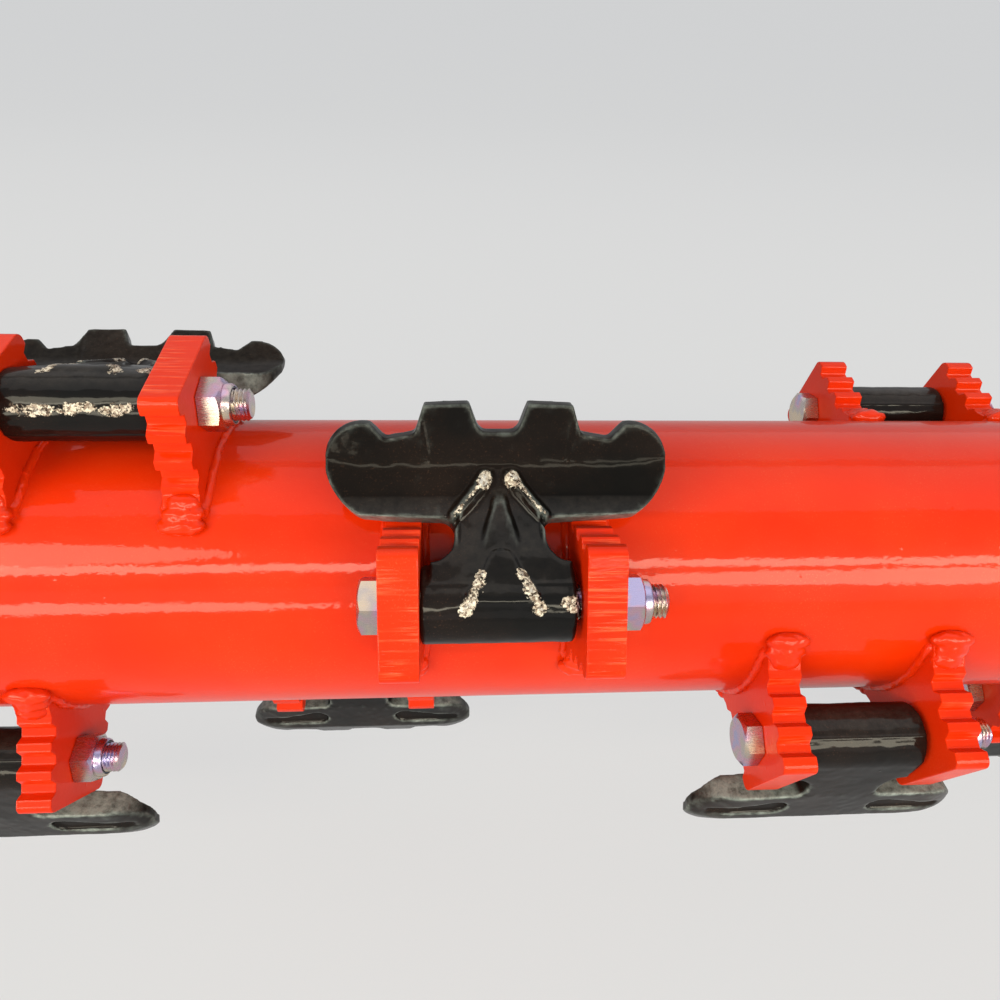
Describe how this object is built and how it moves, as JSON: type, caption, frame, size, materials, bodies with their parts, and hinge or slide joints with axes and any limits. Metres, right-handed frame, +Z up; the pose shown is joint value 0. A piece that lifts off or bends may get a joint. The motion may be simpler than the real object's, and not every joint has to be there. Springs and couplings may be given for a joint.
{
  "type": "flail rotor of a forestry mulcher",
  "caption": "Mulcher rotor tube with helical rows of toothed lugs, swinging forged hammers on bolts, and flanged bearing housings at both ends.",
  "frame": {"origin": "centre of the left bearing flange, on the face that meets the mulcher's side plate, on the rotor axis", "axes": "+X along the rotor axis to the drive end, +Y to the back of the mulcher, +Z up"},
  "size_m": [2.124, 0.3397, 0.4241],
  "materials": {
    "orange_paint": "gloss orange-red enamel",
    "black_paint": "gloss black enamel over forged steel, chipped",
    "zinc": "zinc plated, slightly pink and yellow",
    "shaft_steel": "turned steel",
    "housing_paint": "cast, painted black",
    "bearing_steel": "ground bearing steel"
  },
  "bodies": {
    "root": {"bearing_housing_left": "housing_paint", "bearing_left": "bearing_steel", "bearing_cover_left": "housing_paint", "bearing_housing_right": "housing_paint", "bearing_right": "bearing_steel", "bearing_cover_right": "housing_paint"},
    "rotor": {"rotor_tube": "orange_paint", "end_disc_left": "orange_paint", "end_disc_right": "orange_paint", "stub_shaft_left": "shaft_steel", "stub_shaft_right": "shaft_steel", "hammer_bolts": "zinc", "lock_nuts": "zinc", "lugs_a1": "orange_paint", "lugs_a2": "orange_paint", "lugs_a3": "orange_paint", "lugs_a4": "orange_paint", "lugs_a5": "orange_paint", "lugs_a6": "orange_paint", "lugs_a7": "orange_paint", "lugs_b1": "orange_paint", "lugs_b2": "orange_paint", "lugs_b3": "orange_paint", "lugs_b4": "orange_paint", "lugs_b5": "orange_paint", "lugs_b6": "orange_paint", "lugs_b7": "orange_paint"},
    "hammer_a1": {"hammer_a1": "black_paint"},
    "hammer_a2": {"hammer_a2": "black_paint"},
    "hammer_a3": {"hammer_a3": "black_paint"},
    "hammer_a4": {"hammer_a4": "black_paint"},
    "hammer_a5": {"hammer_a5": "black_paint"},
    "hammer_a6": {"hammer_a6": "black_paint"},
    "hammer_a7": {"hammer_a7": "black_paint"},
    "hammer_b1": {"hammer_b1": "black_paint"},
    "hammer_b2": {"hammer_b2": "black_paint"},
    "hammer_b3": {"hammer_b3": "black_paint"},
    "hammer_b4": {"hammer_b4": "black_paint"},
    "hammer_b5": {"hammer_b5": "black_paint"},
    "hammer_b6": {"hammer_b6": "black_paint"},
    "hammer_b7": {"hammer_b7": "black_paint"}
  },
  "joints": [
    {"name": "rotor_spin", "type": "hinge", "parent": "root", "child": "rotor", "pos_m": [0, 0, 0], "axis": [1, 0, 0], "continuous": true},
    {"name": "hammer_a1_swing", "type": "hinge", "parent": "rotor", "child": "hammer_a1", "pos_m": [0.2707, 0.13547, -0.0288], "axis": [-1, 0, 0], "range_deg": [-194.9, 29.7]},
    {"name": "hammer_a2_swing", "type": "hinge", "parent": "rotor", "child": "hammer_a2", "pos_m": [0.5157, 0.10293, 0.09267], "axis": [-1, 0, 0], "range_deg": [0, 224.6]},
    {"name": "hammer_a3_swing", "type": "hinge", "parent": "rotor", "child": "hammer_a3", "pos_m": [0.7607, -0.01448, 0.13774], "axis": [-1, 0, 0], "range_deg": [-224.6, 0]},
    {"name": "hammer_a4_swing", "type": "hinge", "parent": "rotor", "child": "hammer_a4", "pos_m": [1.0057, -0.11994, 0.06925], "axis": [-1, 0, 0], "range_deg": [-224.6, 0]},
    {"name": "hammer_a5_swing", "type": "hinge", "parent": "rotor", "child": "hammer_a5", "pos_m": [1.2507, -0.12653, -0.05633], "axis": [-1, 0, 0], "range_deg": [-50.9, 173.7]},
    {"name": "hammer_a6_swing", "type": "hinge", "parent": "rotor", "child": "hammer_a6", "pos_m": [1.4957, -0.0288, -0.13547], "axis": [-1, 0, 0], "range_deg": [-104.9, 119.7]},
    {"name": "hammer_a7_swing", "type": "hinge", "parent": "rotor", "child": "hammer_a7", "pos_m": [1.7407, 0.09267, -0.10293], "axis": [-1, 0, 0], "range_deg": [-158.9, 65.7]},
    {"name": "hammer_b1_swing", "type": "hinge", "parent": "rotor", "child": "hammer_b1", "pos_m": [0.161, -0.06374, 0.12296], "axis": [-1, 0, 0], "range_deg": [0, 224.6]},
    {"name": "hammer_b2_swing", "type": "hinge", "parent": "rotor", "child": "hammer_b2", "pos_m": [0.406, -0.13694, 0.02071], "axis": [-1, 0, 0], "range_deg": [-18.3, 206.3]},
    {"name": "hammer_b3_swing", "type": "hinge", "parent": "rotor", "child": "hammer_b3", "pos_m": [0.651, -0.09725, -0.09862], "axis": [-1, 0, 0], "range_deg": [-72.3, 152.3]},
    {"name": "hammer_b4_swing", "type": "hinge", "parent": "rotor", "child": "hammer_b4", "pos_m": [0.896, 0.02262, -0.13664], "axis": [-1, 0, 0], "range_deg": [-126.3, 98.3]},
    {"name": "hammer_b5_swing", "type": "hinge", "parent": "rotor", "child": "hammer_b5", "pos_m": [1.141, 0.12384, -0.06202], "axis": [-1, 0, 0], "range_deg": [-180.3, 44.3]},
    {"name": "hammer_b6_swing", "type": "hinge", "parent": "rotor", "child": "hammer_b6", "pos_m": [1.36, 0.1293, 0.04963], "axis": [-1, 0, 0], "range_deg": [-224.6, 0]},
    {"name": "hammer_b7_swing", "type": "hinge", "parent": "rotor", "child": "hammer_b7", "pos_m": [1.631, 0.02071, 0.13694], "axis": [-1, 0, 0], "range_deg": [0, 224.6]}
  ]
}
